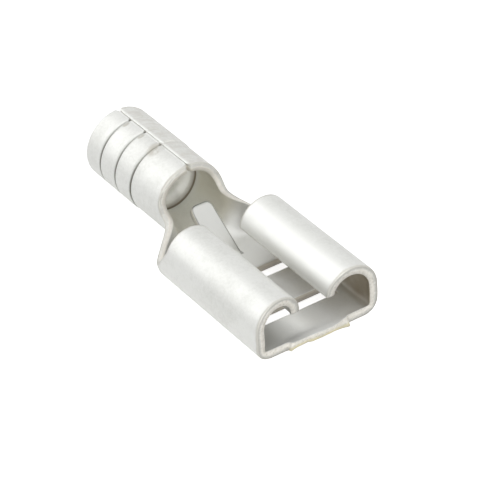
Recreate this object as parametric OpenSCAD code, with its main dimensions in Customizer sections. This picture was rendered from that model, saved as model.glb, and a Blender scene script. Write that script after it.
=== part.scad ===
// Female spade terminal, bare, for a 6.35 x 0.8 mm tab: one stamped and folded strip of tinned brass.
// Frame: +X points out of the tab slot, the wire barrel lies along -X, +Y is across, +Z is up.
// Origin: the middle of the floor's front edge, on the floor's underside.

/* [Sheet] */
// Thickness of the strip
sheet = 0.45; // [0.25:0.01:0.8]

/* [Receptacle] */
// Width over the two side walls
receptacle_width = 7.6; // [6.5:0.05:11]
// Height from the floor's underside to the top of the curls
receptacle_height = 3.22; // [3:0.02:5]
// Length of the floor, from the front edge to the neck
receptacle_length = 8.65; // [7:0.05:14]
// Outside radius of the two folds between the floor and the walls
corner_radius = 0.88; // [0.7:0.01:1.4]
// Outside radius of the two curls
curl_radius = 1.48; // [1.1:0.01:1.6]
// Angle that each curl turns past its half circle
curl_overturn = 1; // [1:1:25]

/* [Wing edges] */
// Distance that the curls' front edge falls back at the curl tips
front_lean = 0.46; // [0:0.01:1]
// Distance that it has fallen back already at the walls
front_setback = 0.06; // [0:0.01:0.3]
// Distance from the floor's rear end to the rear end of the curls
curl_rear_setback = 0.7; // [0.2:0.01:1.5]
// Height over which the walls' rear edge leans
rear_lean_height = 1.0; // [0.5:0.01:1.2]
// Radius of the relief notch between neck and wing
relief_radius = 0.13; // [0.05:0.01:0.2]

/* [Floor slots] */
// Distance from the front edge to the front slot
front_slot_start = 1.88; // [1:0.01:3]
// Width of each slot, along the terminal
slot_width = 0.9; // [0.4:0.01:1.2]
// Width of the bridge between the two slots
bridge_width = 2.36; // [1.8:0.01:3]
// Length of the slots, across the terminal
slot_length = 5.4; // [3:0.05:6]
// Radius of the slots' corners
slot_corner = 0.12; // [0.02:0.01:0.15]

/* [Detent dimple] */
// Radius of the dimple where it leaves the bridge
dimple_radius = 0.7; // [0.3:0.01:0.85]
// Height of the dimple over the floor
dimple_height = 0.2; // [0.1:0.01:0.28]

/* [Neck] */
// Length of the neck, from the floor's rear end to the barrel's mouth
neck_length = 2.55; // [2:0.05:6]
// Half of the strip's width at the waist, measured round the fold
waist_half = 2.95; // [2.3:0.01:3.4]
// Distance that the strip's edge rises past the waist at the mouth, round the fold
mouth_rise = 1.2; // [0.4:0.05:1.6]
// Length of the fillet between the mouth and the waist
mouth_fillet = 0.6; // [0.2:0.05:0.9]
// Height of straight wall above the corner fold where the neck meets the wing
wall_foot = 0.24; // [0.05:0.01:0.4]
// Length over which the strip widens from the waist to the wing
flare_length = 1.5; // [0.8:0.05:1.6]
// How late the round fold opens into the flat floor
fold_delay = 2.4; // [1:0.1:4]

/* [Wire barrel] */
// Inside diameter of the barrel
barrel_bore = 3.3; // [2.2:0.05:4.5]
// Length of the barrel
barrel_length = 6.75; // [6:0.05:12]
// Height of the barrel's underside over the floor's underside
barrel_lift = 0.06; // [0:0.01:0.4]
// Width of the butted seam along the top
seam_gap = 0.04; // [0.02:0.01:0.2]
// Depth of the notches at the seam's two ends
seam_notch = 0.28; // [0.1:0.01:0.5]
// Chamfer round the barrel's rear end
rear_chamfer = 0.07; // [0.02:0.01:0.12]

/* [Grooves] */
// Number of grooves round the barrel
groove_count = 3; // [1:1:3]
// Distance from one groove to the next
groove_pitch = 1.43; // [0.8:0.01:1.6]
// Distance from the mouth to the nearest groove
groove_start = 2.55; // [2.2:0.01:2.8]
// Width of a groove at the surface
groove_width = 0.22; // [0.1:0.01:0.4]
// Depth of a groove
groove_depth = 0.12; // [0.05:0.01:0.18]
// Height that the rings between the grooves swell
ring_swell = 0.04; // [0:0.01:0.1]

/* [Stop bead] */
// Length of the bead inside the barrel, under the groove nearest the mouth
bead_length = 1.3; // [0.7:0.05:1.6]
// Height of the bead
bead_height = 0.8; // [0.1:0.01:1]
// Radius of the bead's shoulders
bead_shoulder = 0.64; // [0.3:0.01:0.9]

/* [Stop tongue] */
// Width of the free end of the tongue that is lanced out of the neck's floor
tongue_width = 1.24; // [0.8:0.02:1.6]
// Width of the tongue at its root
tongue_root_width = 1.54; // [1:0.02:2]
// Length of the tongue
tongue_length = 3.55; // [2:0.05:3.6]
// Angle at which the tongue rises
tongue_rise = 36; // [15:1:50]
// Distance from the front edge to the tongue's root
tongue_root = 7.5; // [6.9:0.05:8]
// Inside radius of the bend at the root
tongue_bend = 0.5; // [0.2:0.05:0.8]
// Radius of the corners at the free end
tongue_corner = 0.3; // [0.1:0.01:0.38]
// Gap between the tongue's sides and its window
tongue_clearance = 0.05; // [0.02:0.01:0.2]

/* [Carrier stub] */
// Width of the stub left where the terminal was cut from its carrier
stub_width = 3.8; // [2:0.05:5]
// Length of the stub at the middle of its break, along the top
stub_length = 0.28; // [0.1:0.01:0.6]
// Length of the stub along the bottom, where the slanting break starts
stub_foot = 0.04; // [0.02:0.01:0.2]
// How much longer the stub is at its right end than at its left end
stub_skew = 0.2; // [0:0.01:0.4]
// Taper on each side of the stub
stub_taper = 0.2; // [0:0.01:0.4]

/* [Hidden] */
$fn = 48;

degrees = 180 / PI;
past = 0.5;                                     // how far a cutting tool runs past the metal
lap = 0.25;                                     // how far joined forms reach into each other
lap_relief = 0.03;                              // each skin of a lap ends this far inside the metal
lap_step = 0.05;                                // how far before the floor its lap begins

receptacle_half = receptacle_width / 2;
floor_half = receptacle_half - corner_radius;
curl_y = receptacle_half - curl_radius;
curl_z = receptacle_height - curl_radius;
curl_tip_y = curl_y - curl_radius;
wing_foot_z = corner_radius + wall_foot;

floor_rear_x = -receptacle_length;
mouth_x = floor_rear_x - neck_length;
barrel_rear_x = mouth_x - barrel_length;

bore_radius = barrel_bore / 2;
barrel_radius = bore_radius + sheet;
barrel_z = barrel_radius + barrel_lift;
groove_x = mouth_x - groove_start;              // the groove nearest the mouth
last_groove_x = groove_x - (groove_count - 1) * groove_pitch;

fold_barrel = bore_radius + sheet / 2;          // fold radii at the middle of the sheet
fold_corner = corner_radius - sheet / 2;
corner_girth = fold_corner * PI / 2;
flare_x = floor_rear_x - flare_length;
tongue_bend_girth = (tongue_bend + sheet / 2) * tongue_rise / degrees;
tongue_reach = (tongue_bend + sheet) * sin(tongue_rise)
    + (tongue_length - tongue_bend_girth) * cos(tongue_rise);
bend_steps = 6;
neck_steps = 12;
fillet_steps = 5;
half_columns = 11;

function clamp(v, low, high) = max(low, min(high, v));
function smooth(s) = s * s * (3 - 2 * s);

// Lays a flat section (Y, Z) along X, from x0 to x1.
module along_x(x0, x1) {
    translate([x0, 0, 0]) rotate([90, 0, 90]) linear_extrude(x1 - x0) children();
}

// Lays a side view (X, Z) across the terminal, over a width centred on Y = 0.
module across(width) {
    rotate([90, 0, 0]) linear_extrude(width, center = true) children();
}

// Turns a radius over length profile round the barrel's axis.
module round_barrel() {
    translate([0, 0, barrel_z]) rotate([0, 90, 0]) rotate_extrude() children();
}

module both_sides() {
    children();
    mirror([0, 1, 0]) children();
}

module ring(outer) {
    difference() {
        circle(outer);
        circle(outer - sheet);
    }
}

// ---- Receptacle ----

// Floor corner, wall and curl of one wing, seen from the front.
module wing_section() {
    translate([floor_half, corner_radius]) intersection() {
        ring(corner_radius);
        translate([0, -corner_radius]) square(corner_radius);
    }
    translate([receptacle_half - sheet, corner_radius]) square([sheet, curl_z - corner_radius]);
    translate([curl_y, curl_z]) intersection() {
        ring(curl_radius);
        polygon([
            [0, 0],
            [2 * curl_radius, 0],
            [2 * curl_radius, 2 * curl_radius],
            [-2 * curl_radius, 2 * curl_radius],
            [-2 * curl_radius, -2 * curl_radius * tan(curl_overturn)],
        ]);
    }
}

module receptacle_section() {
    translate([-floor_half, 0]) square([2 * floor_half, sheet]);
    wing_section();
    mirror([1, 0]) wing_section();
}

// Takes the curls' front edge back, more towards their tips.
module front_trim() {
    both_sides() translate([0, 0, corner_radius]) linear_extrude(receptacle_height)
        polygon([
            [past, receptacle_half + past],
            [-front_setback, receptacle_half + past],
            [-front_setback, receptacle_half],
            [-front_lean, curl_tip_y],
            [-front_lean, 0],
            [past, 0],
        ]);
}

// Takes the wings' rear edge forward above the neck, and opens the relief notch at its foot.
module rear_trim() {
    curl_rear_x = floor_rear_x + curl_rear_setback;
    top = receptacle_height + past;
    across(receptacle_width + 2 * past) {
        polygon([
            [floor_rear_x - past, wing_foot_z],
            [floor_rear_x + relief_radius, wing_foot_z],
            [curl_rear_x, wing_foot_z + rear_lean_height],
            [curl_rear_x, top],
            [floor_rear_x - past, top],
        ]);
        translate([floor_rear_x + relief_radius, wing_foot_z]) circle(relief_radius);
    }
}

module slot(front_x) {
    inset = 2 * slot_corner;
    translate([front_x - slot_width / 2, 0, -past]) linear_extrude(sheet + 2 * past) union() {
        square([slot_width - inset, slot_length], center = true);
        square([slot_width, slot_length - inset], center = true);
        for (x = [-1, 1], y = [-1, 1])
            translate([x * (slot_width - inset) / 2, y * (slot_length - inset) / 2]) circle(slot_corner);
    }
}

// A cap of a ball that rises by height over a circle of the dimple's radius.
module dimple_ball(base_z) {
    ball = (dimple_radius * dimple_radius + dimple_height * dimple_height) / (2 * dimple_height);
    translate([-front_slot_start - slot_width - bridge_width / 2, 0, base_z]) intersection() {
        translate([0, 0, dimple_height - ball]) sphere(ball);
        translate([0, 0, -sheet / 2]) cylinder(h = sheet / 2 + dimple_height + past, r = dimple_radius);
    }
}

module receptacle() {
    difference() {
        union() {
            difference() {
                along_x(floor_rear_x, 0) receptacle_section();
                front_trim();
                rear_trim();
            }
            dimple_ball(sheet);
        }
        slot(-front_slot_start);
        slot(-front_slot_start - slot_width - bridge_width);
        difference() {
            dimple_ball(0);
            translate([0, 0, -sheet - past]) cube([receptacle_length * 4, receptacle_width, sheet], center = true);
        }
    }
}

// The stub at the front edge where the strip's carrier was broken off, with its slanting, skewed break.
module carrier_stub() {
    half = stub_width / 2;
    reach = stub_length + stub_skew / 2;
    intersection() {
        linear_extrude(sheet) polygon([
            [-lap, -half],
            [0, -half],
            [stub_length - stub_skew / 2, stub_taper - half],
            [reach, half - stub_taper],
            [0, half],
            [-lap, half],
        ]);
        across(stub_width) polygon([[-lap, 0], [stub_foot, 0], [reach, sheet], [-lap, sheet]]);
    }
}

// ---- Neck ----

// How far the round fold of the barrel has opened into the flat floor, from 0 to 1.
function opening(x) = pow(smooth(clamp((x - mouth_x) / neck_length, 0, 1)), fold_delay);

// Half of the strip's width at x, measured round the fold.
function half_girth(x) =
    let (near_mouth = clamp((x - mouth_x) / mouth_fillet, 0, 1),
         flared = clamp((x - flare_x) / flare_length, 0, 1),
         root = floor_half + corner_girth + wall_foot)
    waist_half
        + mouth_rise * (1 - sqrt(1 - pow(1 - near_mouth, 2)))
        + (root - waist_half) * flared * flared;

// Run and rise along a bend that starts at angle a and turns by rate degrees in each millimetre.
function run(a, rate, d) =
    abs(rate * d) < 0.001 ? d * cos(a) : (sin(a + rate * d) - sin(a)) * degrees / rate;
function rise(a, rate, d) =
    abs(rate * d) < 0.001 ? d * sin(a) : (cos(a) - cos(a + rate * d)) * degrees / rate;

// Place and slope [y, z, angle] of the folded strip at u from its middle line.
function folded(u, open) =
    let (round_rate = (1 - open) * degrees / fold_barrel,
         corner_rate = round_rate + open * degrees / fold_corner,
         flat = min(u, floor_half),
         bend = clamp(u - floor_half, 0, corner_girth),
         rest = max(u - floor_half - corner_girth, 0),
         a1 = round_rate * flat,
         a2 = a1 + corner_rate * bend)
    [
        run(0, round_rate, flat) + run(a1, corner_rate, bend) + run(a2, round_rate, rest),
        rise(0, round_rate, flat) + rise(a1, corner_rate, bend) + rise(a2, round_rate, rest),
        a2 + round_rate * rest,
    ];

// A point of the neck's skin: side is -1 or 1 across, skin is -1 outside and 1 inside.
function skin_point(x, share, skin, thickness) =
    let (open = opening(x),
         fold = folded(abs(share) * half_girth(x), open),
         side = share < 0 ? -1 : 1,
         lift = barrel_lift * (1 - open))
    [
        x,
        side * (fold[0] - skin * thickness / 2 * sin(fold[2])),
        lift + sheet / 2 + fold[1] + skin * thickness / 2 * cos(fold[2]),
    ];

function neck_ring(x, thickness) = concat(
    [for (i = [-half_columns:half_columns]) skin_point(x, i / half_columns, -1, thickness)],
    [for (i = [-half_columns:half_columns]) skin_point(x, -i / half_columns, 1, thickness)]
);

// Sections of the neck as [x, thickness], with a thinner lap into the barrel and into the floor.
neck_sections = concat(
    [[mouth_x - lap, sheet - 2 * lap_relief]],
    [for (i = [1:fillet_steps])
        [mouth_x + mouth_fillet * (1 - cos(90 * i / fillet_steps)), sheet]],
    [for (i = [1:neck_steps])
        [mouth_x + mouth_fillet + (neck_length - mouth_fillet - lap_step) * i / neck_steps, sheet]],
    [[floor_rear_x + lap, sheet - 2 * lap_relief]]
);

module neck() {
    ring_size = 2 * (2 * half_columns + 1);
    last = len(neck_sections) - 1;
    polyhedron(
        points = [for (s = neck_sections) each neck_ring(s[0], s[1])],
        faces = concat(
            [for (j = [0:2 * half_columns - 1]) [j, j + 1, ring_size - 2 - j, ring_size - 1 - j]],
            [for (j = [0:2 * half_columns - 1], front = last * ring_size)
                [front + j + 1, front + j, front + ring_size - 1 - j, front + ring_size - 2 - j]],
            [for (i = [0:last - 1], j = [0:ring_size - 1], half = [0, 1])
                let (k = (j + 1) % ring_size, a = i * ring_size, b = a + ring_size)
                half == 0 ? [a + j, b + j, a + k] : [a + k, b + j, b + k]]
        )
    );
}

// ---- Wire barrel ----

// Radius over length, with a groove at each ring's edge and a chamfer at the rear end.
module barrel_profile() {
    swollen = barrel_radius + ring_swell;
    polygon(concat(
        [
            [bore_radius, mouth_x],
            [bore_radius, barrel_rear_x + rear_chamfer],
            [bore_radius + rear_chamfer, barrel_rear_x],
            [swollen - rear_chamfer, barrel_rear_x],
            [swollen, barrel_rear_x + rear_chamfer],
        ],
        [for (i = [groove_count - 1:-1:0], edge = [-1, 0, 1])
            [
                edge == 0 ? barrel_radius - groove_depth : i == 0 && edge == 1 ? barrel_radius : swollen,
                groove_x - i * groove_pitch + edge * groove_width / 2,
            ]],
        [[barrel_radius, mouth_x]]
    ));
}

// The bead that a wire's end meets, pressed in under the groove nearest the mouth.
module bead_profile() {
    crest = bore_radius - bead_height;
    flat = bead_length - 2 * bead_shoulder;
    root = bore_radius + sheet / 3 - crest;
    intersection() {
        union() {
            translate([crest, groove_x - flat / 2]) square([root, flat]);
            for (end = [-1, 1])
                translate([crest + bead_shoulder, groove_x + end * flat / 2]) circle(bead_shoulder);
        }
        translate([crest, groove_x - bead_length]) square([root, 2 * bead_length]);
    }
}

// A narrow gap along the top, with a small notch at each end where the strip's corners were cut.
module seam_cut() {
    top = barrel_z + barrel_radius + past;
    translate([barrel_rear_x - past, -seam_gap / 2, barrel_z])
        cube([barrel_length + 2 * past, seam_gap, barrel_radius + past]);
    for (end = [[barrel_rear_x, 1], [mouth_x, -1]])
        translate([end[0], 0, barrel_z]) linear_extrude(top - barrel_z) polygon([
            [-end[1] * past, -seam_notch / 2],
            [0, -seam_notch / 2],
            [end[1] * seam_notch, 0],
            [0, seam_notch / 2],
            [-end[1] * past, seam_notch / 2],
        ]);
}

module barrel() {
    difference() {
        round_barrel() {
            barrel_profile();
            bead_profile();
        }
        seam_cut();
    }
}

// ---- Stop tongue ----

// Side view of the tongue: a bend at the root, then a straight strip up towards the mouth.
module tongue_side() {
    strip = tongue_length - tongue_bend_girth;
    bend_z = sheet + tongue_bend;
    function arc(radius, share) = [
        -tongue_root - radius * sin(share * tongue_rise),
        bend_z - radius * cos(share * tongue_rise),
    ];
    along = [-strip * cos(tongue_rise), strip * sin(tongue_rise)];
    polygon(concat(
        [[lap - tongue_root, 0]],
        [for (i = [0:bend_steps]) arc(tongue_bend + sheet, i / bend_steps)],
        [arc(tongue_bend + sheet, 1) + along, arc(tongue_bend, 1) + along],
        [for (i = [bend_steps:-1:0]) arc(tongue_bend, i / bend_steps)],
        [[lap - tongue_root, sheet]]
    ));
}

// Plan view of the tongue, with the two corners of its free end rounded.
module tongue_plan() {
    end_x = -tongue_root - tongue_reach;
    half_end = tongue_width / 2;
    half_root = tongue_root_width / 2;
    inset = half_end - tongue_corner;
    polygon(concat(
        [[end_x, inset], [end_x, -inset], [end_x + tongue_corner, -half_end]],
        [[-tongue_root, -half_root], [lap - tongue_root, -half_root]],
        [[lap - tongue_root, half_root], [-tongue_root, half_root]],
        [[end_x + tongue_corner, half_end]]
    ));
    for (side = [-1, 1]) translate([end_x + tongue_corner, side * inset]) circle(tongue_corner);
}

module tongue() {
    intersection() {
        across(max(tongue_width, tongue_root_width)) tongue_side();
        linear_extrude(barrel_z + barrel_radius) tongue_plan();
    }
}

// The window that the tongue leaves in the floor.
module tongue_window() {
    half_end = tongue_width / 2 + tongue_clearance;
    half_root = tongue_root_width / 2 + tongue_clearance;
    end_x = -tongue_root - tongue_length;
    translate([0, 0, -past]) linear_extrude(sheet + 2 * past)
        polygon([[end_x, -half_end], [-tongue_root, -half_root], [-tongue_root, half_root], [end_x, half_end]]);
}

// ---- The whole terminal ----

module terminal() {
    color("Silver") union() {
        difference() {
            union() {
                receptacle();
                neck();
                barrel();
            }
            tongue_window();
        }
        tongue();
        carrier_stub();
    }
}

terminal();
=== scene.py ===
"""Looks of a bare female spade terminal that is folded from one strip of tinned brass.

The strip is laid out flat as a grid, cut to its outline, folded round the same bends as the CAD
node, given its thickness, and dressed with a tin finish on its skins and a sheared finish on its
cut edges. Lengths are in millimetres until the finished strip is scaled to metres.
"""

import logging
import math
from dataclasses import dataclass
from enum import Enum
from typing import Any, Callable, Iterable, Sequence

import bpy
import numpy as np
from mathutils import Matrix, Vector
from mathutils.kdtree import KDTree


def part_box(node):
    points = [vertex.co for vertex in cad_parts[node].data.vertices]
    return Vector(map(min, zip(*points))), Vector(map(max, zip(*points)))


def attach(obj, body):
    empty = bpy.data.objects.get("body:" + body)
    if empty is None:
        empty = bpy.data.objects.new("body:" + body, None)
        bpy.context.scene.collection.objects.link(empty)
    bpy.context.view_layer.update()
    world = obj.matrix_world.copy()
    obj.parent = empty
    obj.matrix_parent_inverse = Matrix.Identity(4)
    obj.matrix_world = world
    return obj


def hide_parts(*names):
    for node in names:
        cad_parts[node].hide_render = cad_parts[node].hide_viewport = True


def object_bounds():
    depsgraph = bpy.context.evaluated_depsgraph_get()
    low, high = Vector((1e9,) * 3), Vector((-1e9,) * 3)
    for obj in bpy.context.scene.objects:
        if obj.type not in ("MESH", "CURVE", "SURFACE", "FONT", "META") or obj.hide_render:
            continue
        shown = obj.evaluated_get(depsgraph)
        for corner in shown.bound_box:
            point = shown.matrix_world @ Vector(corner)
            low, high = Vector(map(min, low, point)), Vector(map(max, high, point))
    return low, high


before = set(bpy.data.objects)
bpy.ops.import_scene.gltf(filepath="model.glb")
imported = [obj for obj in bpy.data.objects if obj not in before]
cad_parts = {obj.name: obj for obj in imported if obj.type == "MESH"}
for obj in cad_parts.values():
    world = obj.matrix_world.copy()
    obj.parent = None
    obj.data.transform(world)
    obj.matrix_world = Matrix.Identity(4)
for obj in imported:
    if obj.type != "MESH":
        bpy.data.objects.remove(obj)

MM = 0.001
NODE = "terminal"
SAME = 1e-6  # lengths in millimetres, or angles, that differ by less are the same
NEAR = 1e-4  # a point's place in a mesh is read back this well, in millimetres
MIDDLE = 0.5  # a noise wanders to both sides of this
CAD_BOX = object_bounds()

log = logging.getLogger("spade_terminal")


class Skin(Enum):
    """The two skins of the strip, by the sign of their offset from its middle."""

    OUTER = -1
    INNER = 1


class Slot(Enum):
    """Material slots of the strip."""

    TIN = 0
    CUT = 1


# -----------------------------------------------------------------------------
# Shader building
# -----------------------------------------------------------------------------


class Value:
    """A shader socket that grows Math nodes as Python expressions are written on it."""

    def __init__(self, paint: "Paint", socket: Any) -> None:
        """Wraps a socket.

        Args:
            paint: The material builder that the socket belongs to.
            socket: An output socket that carries a number.
        """
        self.paint = paint
        self.socket = socket

    def _math(self, operation: str, *terms: Any, clamp: bool = False) -> "Value":
        """Adds one Math node, whose inputs are wrapped sockets or numbers."""
        settings = {"operation": operation, "use_clamp": clamp}
        return self.paint.node("ShaderNodeMath", settings, dict(enumerate(terms)))

    def __add__(self, other: Any) -> "Value":
        """Sum."""
        return self._math("ADD", self, other)

    __radd__ = __add__

    def __sub__(self, other: Any) -> "Value":
        """Difference."""
        return self._math("SUBTRACT", self, other)

    def __rsub__(self, other: Any) -> "Value":
        """Difference from a number."""
        return self._math("SUBTRACT", other, self)

    def __mul__(self, other: Any) -> "Value":
        """Product."""
        return self._math("MULTIPLY", self, other)

    __rmul__ = __mul__

    def __abs__(self) -> "Value":
        """Size without sign."""
        return self._math("ABSOLUTE", self)

    def clamp(self) -> "Value":
        """The value kept between 0 and 1."""
        return self._math("ADD", self, 0.0, clamp=True)

    def ramp(self, low: float, high: float) -> "Value":
        """A smooth step, which is 0 at the low value and 1 at the high one."""
        inputs = {"Value": self, "From Min": low, "From Max": high}
        return self.paint.node("ShaderNodeMapRange", {"interpolation_type": "SMOOTHSTEP"}, inputs)


class Paint:
    """Builds the nodes of one material, or of the world."""

    def __init__(self, name: str, tree: Any = None) -> None:
        """Starts an empty material, or empties a node tree that is given.

        Args:
            name: The material's name.
            tree: The world's node tree, or nothing for a new material.
        """
        if tree is None:
            self.material = bpy.data.materials.new(name)
            self.material.use_nodes = True
            tree = self.material.node_tree
        self.tree = tree
        self.tree.nodes.clear()

    def raw(self, kind: str, settings: dict[str, Any], inputs: dict[Any, Any]) -> Any:
        """Makes one node.

        Args:
            kind: The node's type.
            settings: Properties of the node, which are set first.
            inputs: Values or links, by the socket's name or number.

        Returns:
            The node itself.
        """
        made = self.tree.nodes.new(kind)
        for key, value in settings.items():
            setattr(made, key, value)
        for key, value in inputs.items():
            socket = made.inputs[key]
            if isinstance(value, Value):
                self.tree.links.new(value.socket, socket)
            elif isinstance(value, bpy.types.NodeSocket):
                self.tree.links.new(value, socket)
            else:
                socket.default_value = value
        return made

    def node(
        self, kind: str, settings: dict[str, Any], inputs: dict[Any, Any], out: Any = 0
    ) -> Value:
        """Makes one node as raw does, and wraps the output of this name or number."""
        return Value(self, self.raw(kind, settings, inputs).outputs[out])

    def axis(self, vector: Any, name: str) -> Value:
        """One axis, X, Y or Z, of a vector."""
        return self.node("ShaderNodeSeparateXYZ", {}, {0: vector}, name)

    def attribute(self, name: str, out: str) -> Any:
        """An attribute of the mesh, by its name and the output that it is read from."""
        return self.raw("ShaderNodeAttribute", {"attribute_name": name}, {}).outputs[out]

    def stretched(self, vector: Any, scale: Sequence[float]) -> Any:
        """A pattern's coordinates, scaled along each axis."""
        return self.raw("ShaderNodeMapping", {}, {"Vector": vector, "Scale": scale}).outputs[0]

    def noise(self, vector: Any, scale: float, detail: float, rough: float) -> Value:
        """Noise from 0 to 1, of a scale, a number of octaves and a strength of the fine ones."""
        inputs = {"Vector": vector, "Scale": scale, "Detail": detail, "Roughness": rough}
        return self.node("ShaderNodeTexNoise", {}, inputs, "Fac")

    def blend(self, share: Any, first: Any, second: Any) -> Any:
        """Mixes two colours or links, by the second one's share."""
        colours = {"data_type": "RGBA"}
        return self.raw("ShaderNodeMix", colours, {0: share, 6: first, 7: second}).outputs[2]

    def bump(self, height: Value, strength: float, distance: float, normal: Any = None) -> Any:
        """Turns a height into a normal.

        Args:
            height: The height, about 0 to 1.
            strength: The bump's strength.
            distance: The depth that a height of 1 stands for, in metres.
            normal: A normal to build on.

        Returns:
            The normal's socket.
        """
        inputs = {"Height": height, "Strength": strength, "Distance": distance}
        if normal is not None:
            inputs["Normal"] = normal
        return self.raw("ShaderNodeBump", {}, inputs).outputs[0]

    def finish(self, shader: Any) -> bpy.types.Material:
        """Links a shader to the material's output, and returns the material."""
        self.raw("ShaderNodeOutputMaterial", {}, {"Surface": shader})
        return self.material

    def metal(self, base: Any, metallic: Any, roughness: Any, normal: Any) -> bpy.types.Material:
        """Ends the material with a metal's shader.

        Args:
            base: The colour.
            metallic: How much of a metal it is.
            roughness: How rough it is.
            normal: The bumped normal.

        Returns:
            The material.
        """
        inputs = {"Base Color": base, "Metallic": metallic, "Roughness": roughness}
        shader = self.raw("ShaderNodeBsdfPrincipled", {}, inputs | {"Normal": normal})
        return self.finish(shader.outputs[0])


Colour = tuple[float, float, float, float]
Pair = tuple[float, float]
Span = tuple[float, float]
Noise = tuple[float, float, float]
Break = tuple[float, float, float]


def colour(red: float, green: float, blue: float) -> Colour:
    """An opaque colour."""
    return (red, green, blue, 1.0)


class StripMap:
    """Where a point lies on the strip, as sockets that the finishes read."""

    def __init__(self, paint: Paint) -> None:
        """Adds the coordinates.

        Args:
            paint: The finish's material builder.
        """
        self.paint = paint
        self.place = paint.raw("ShaderNodeTexCoord", {}, {}).outputs["Object"]
        self.flat = paint.attribute("strip", "Vector")
        self.along = paint.axis(self.flat, "X")
        self.round_fold = paint.axis(self.flat, "Y")
        self.side = abs(self.round_fold)
        self.through = Value(paint, paint.attribute("through", "Fac"))


class TinCoat(StripMap):
    """The tin plate in the making: its noises, and the colour laid on so far."""

    def __init__(self, plate: "TinPlate", terminal: "TerminalPiece") -> None:
        """Adds the noises and the ground colour.

        Args:
            plate: The finish.
            terminal: The piece that it covers.
        """
        super().__init__(Paint("tin_plate"))
        paint = self.paint
        self.strip, self.barrel, self.tongue = terminal.strip, terminal.barrel, terminal.tongue
        self.rim = Value(paint, paint.attribute("rim", "Fac"))
        self.ways = {
            "rear": self.along,
            "front": self.along,
            "across": self.round_fold,
            "side": self.side,
            "height": paint.axis(self.place, "Z"),
            "rim": self.rim,
        }
        self.inner = self.through.ramp(*plate.skin_span)
        self.outer = 1.0 - self.inner
        self.clouds = paint.noise(self.place, *plate.cloud_noise)
        self.patches = paint.noise(self.place, *plate.patch_noise)
        self.grain = paint.noise(self.place, *plate.grain_noise)
        self.lines = paint.noise(paint.stretched(self.flat, plate.line_stretch), *plate.line_noise)
        broad = plate.cloud_share * self.clouds.ramp(*plate.cloud_span)
        broad = (broad + plate.patch_share * self.patches.ramp(*plate.patch_span)).clamp()
        fine = broad + plate.grain_share * (self.grain - MIDDLE)
        self.dullness = (fine + plate.line_share * (self.lines - MIDDLE)).clamp()
        self.base = paint.blend(self.dullness, plate.bright, plate.dull)

    def lay(self, tone: Colour, share: Any, **spans: Span) -> None:
        """Lays one more colour on.

        Args:
            tone: The colour.
            share: How much of it shows, at most.
            **spans: Where it fades in along each way, from the place with none of it to the place
                with all of it: rear and front along the strip, across it, side from its middle
                line, height above the floor, and rim from the nearest cut edge.
        """
        for way, span in spans.items():
            share = share * self.ways[way].ramp(*span)
        self.base = self.paint.blend(share, self.base, tone)

    def off(self, x: float, u: float, across: float = 1.0) -> Value:
        """The squared distance from a place on the strip, with its part across it scaled."""
        ahead, beside = self.along - x, self.round_fold - u
        return ahead * ahead + across * beside * beside


def broken(noise: Value, least: float, start: float, end: float) -> Value:
    """A share that a noise breaks up, from its least at the noise's start to 1 at its end."""
    return least + (1.0 - least) * noise.ramp(start, end)


def shifted(place: float, span: Span) -> Span:
    """A span that is given from a place on the strip."""
    return (place + span[0], place + span[1])


def band(middle: float, reach: float, whole: float) -> dict[str, Span]:
    """Spans of a band across the strip, by how far it reaches and how far it is whole."""
    return {"rear": (middle - reach, middle - whole), "front": (middle + reach, middle + whole)}


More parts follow.
